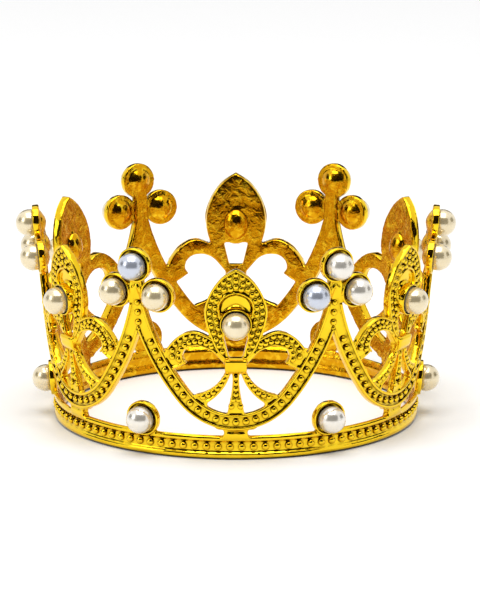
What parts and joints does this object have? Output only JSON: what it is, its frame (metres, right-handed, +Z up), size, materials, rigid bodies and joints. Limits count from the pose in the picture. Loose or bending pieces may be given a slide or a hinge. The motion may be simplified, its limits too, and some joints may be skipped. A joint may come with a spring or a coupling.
{
  "type": "ring crown with imitation pearls",
  "caption": "Plated cast-metal ring crown of fleur-de-lis, garlands and trefoils with pearls glued into cups, standing free on its rim.",
  "frame": {"origin": "centre of the ring at the plane of the lower rim", "axes": "+Z up along the ring's axis, -Y towards the front fleur, +X to its right"},
  "size_m": [0.1294, 0.1286, 0.0633],
  "materials": {
    "gold_plating": "bright gold plating over cast zinc alloy, rougher inside the ring",
    "pearl": "imitation pearl with a soft pearlescent coat"
  },
  "bodies": {
    "root": {"crown_casting": "gold_plating", "fleur_pearl_1": "pearl", "fleur_pearl_2": "pearl", "fleur_pearl_3": "pearl", "fleur_pearl_4": "pearl", "fleur_pearl_5": "pearl", "fleur_pearl_6": "pearl", "trefoil_left_pearl_1": "pearl", "trefoil_left_pearl_2": "pearl", "trefoil_left_pearl_3": "pearl", "trefoil_left_pearl_4": "pearl", "trefoil_left_pearl_5": "pearl", "trefoil_left_pearl_6": "pearl", "trefoil_right_pearl_1": "pearl", "trefoil_right_pearl_2": "pearl", "trefoil_right_pearl_3": "pearl", "trefoil_right_pearl_4": "pearl", "trefoil_right_pearl_5": "pearl", "trefoil_right_pearl_6": "pearl", "trefoil_top_pearl_1": "pearl", "trefoil_top_pearl_2": "pearl", "trefoil_top_pearl_3": "pearl", "trefoil_top_pearl_4": "pearl", "trefoil_top_pearl_5": "pearl", "trefoil_top_pearl_6": "pearl", "band_pearl_1": "pearl", "band_pearl_2": "pearl", "band_pearl_3": "pearl", "band_pearl_4": "pearl", "band_pearl_5": "pearl", "band_pearl_6": "pearl"}
  },
  "joints": []
}
